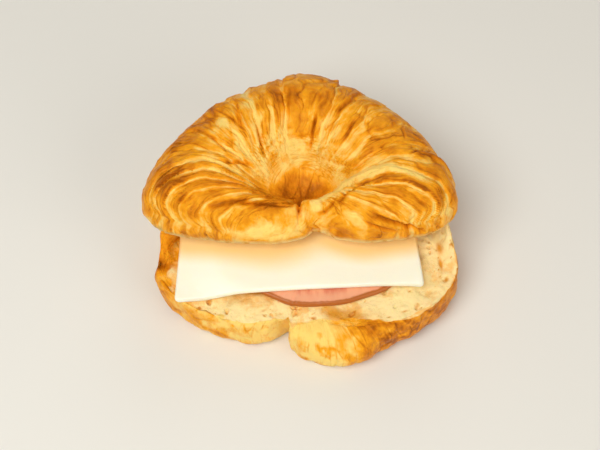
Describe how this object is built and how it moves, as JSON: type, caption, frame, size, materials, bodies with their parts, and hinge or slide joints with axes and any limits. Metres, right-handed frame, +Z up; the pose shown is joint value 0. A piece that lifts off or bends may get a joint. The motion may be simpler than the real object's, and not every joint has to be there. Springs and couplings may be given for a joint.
{
  "type": "ham and cheese croissant",
  "caption": "Curled croissant, sliced, with a cheese slice and a ham slice lying between its halves and showing at the front.",
  "frame": {"origin": "on the resting face, below the point where the two curled horns meet", "axes": "+Z up, +Y towards the back of the croissant, away from the mouth where the filling shows, +X to the right as seen from the mouth"},
  "size_m": [0.1238, 0.1112, 0.0588],
  "materials": {
    "lower_crust": null,
    "upper_crust": null,
    "ham": null,
    "cheese": null
  },
  "bodies": {
    "root": {"croissant_bottom": "lower_crust", "ham_slice": "ham", "cheese_slice": "cheese", "croissant_top": "upper_crust"}
  },
  "joints": []
}
